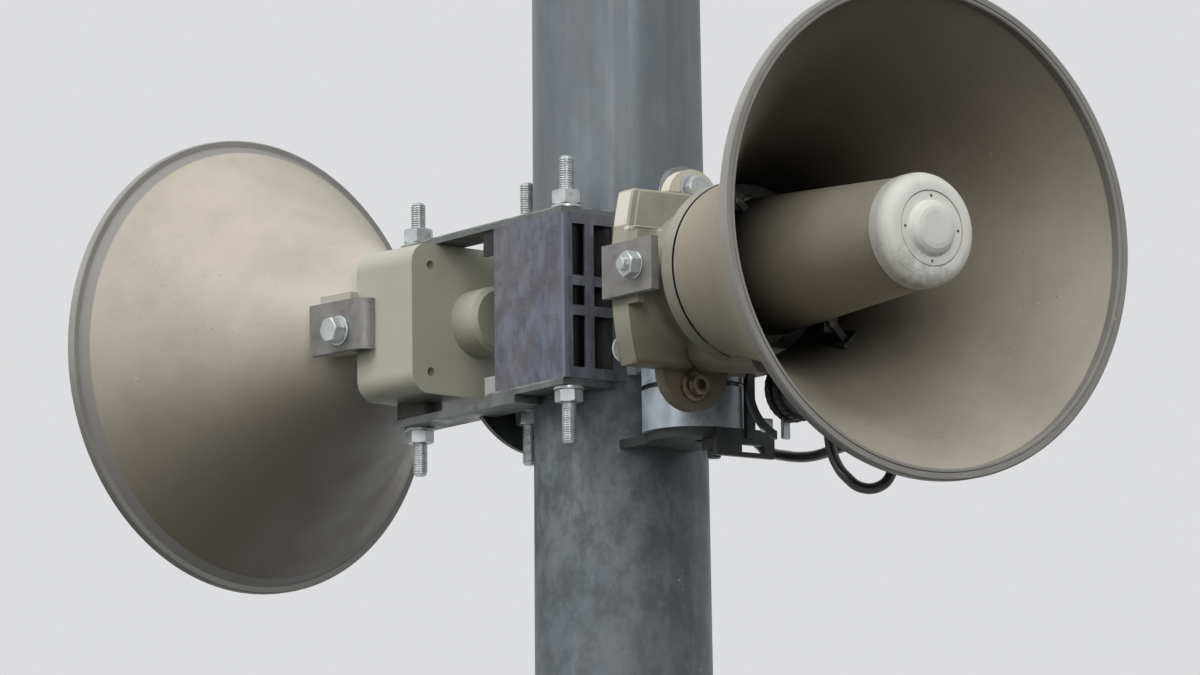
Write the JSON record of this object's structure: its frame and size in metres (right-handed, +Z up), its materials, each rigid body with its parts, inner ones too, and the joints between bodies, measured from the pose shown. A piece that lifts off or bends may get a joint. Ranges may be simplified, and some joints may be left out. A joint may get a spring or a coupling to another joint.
{
  "type": "pole with a pair of reflex horn loudspeakers",
  "caption": "Tapered galvanised steel pole on a bolted base flange, carrying two reflex horn loudspeakers back to back, one panning about a vertical rod.",
  "frame": {"origin": "on the pole's axis, at the underside of the base flange", "axes": "+Z up along the pole, +X the way the fixed horn faces, -Y the front of the bracket"},
  "size_m": [0.7627, 0.3725, 4],
  "materials": {
    "galvanised": "weathered hot-dip galvanised",
    "zinc": "dull zinc plated",
    "block": "weathered dark casting",
    "housing_paint": "satin, dusty",
    "bell_paint": "satin, dusty",
    "rim": "satin",
    "nose": "satin, chipped",
    "reflector": "satin",
    "black_plastic": "matte",
    "cable": "matte",
    "spider": "matte"
  },
  "bodies": {
    "mast": {"base_flange": "galvanised", "base_gussets": "galvanised", "pole_shaft": "galvanised", "pole_cap": "galvanised", "pole_grommet": "black_plastic", "strap_upper": "zinc", "strap_lower": "zinc", "saddle_block": "block", "top_strip": "zinc", "bottom_plate": "zinc", "bottom_strip": "zinc", "front_rod": "zinc", "rear_rod": "zinc", "pan_rod": "zinc", "rear_cheek": "zinc", "right_throat_tube": "black_plastic", "standoff_saddle": "galvanised", "support_tube": "zinc", "bracket_foot": "galvanised", "mount_plate": "zinc", "right_housing": "housing_paint", "right_neck": "housing_paint", "right_bell": "bell_paint", "right_rim": "rim", "right_reflector": "reflector", "right_spider": "spider", "right_nose_cap": "nose", "right_nose_plug": "nose", "right_cleats": "zinc", "gland_flange": "zinc", "cable_gland": "black_plastic", "speaker_cable": "cable"},
    "panned_horn": {"left_throat_tube": "black_plastic", "left_housing": "housing_paint", "left_rear_cover": "housing_paint", "left_neck": "housing_paint", "left_bell": "bell_paint", "left_rim": "rim", "left_reflector": "reflector", "left_spider": "spider", "left_nose_cap": "nose", "left_nose_plug": "nose", "left_cleats": "zinc"}
  },
  "joints": [
    {"name": "left_horn_pan", "type": "hinge", "parent": "mast", "child": "panned_horn", "pos_m": [-0.14, -0.064, 3.1], "axis": [0, 0, 1], "range_deg": [-35, 35]}
  ]
}
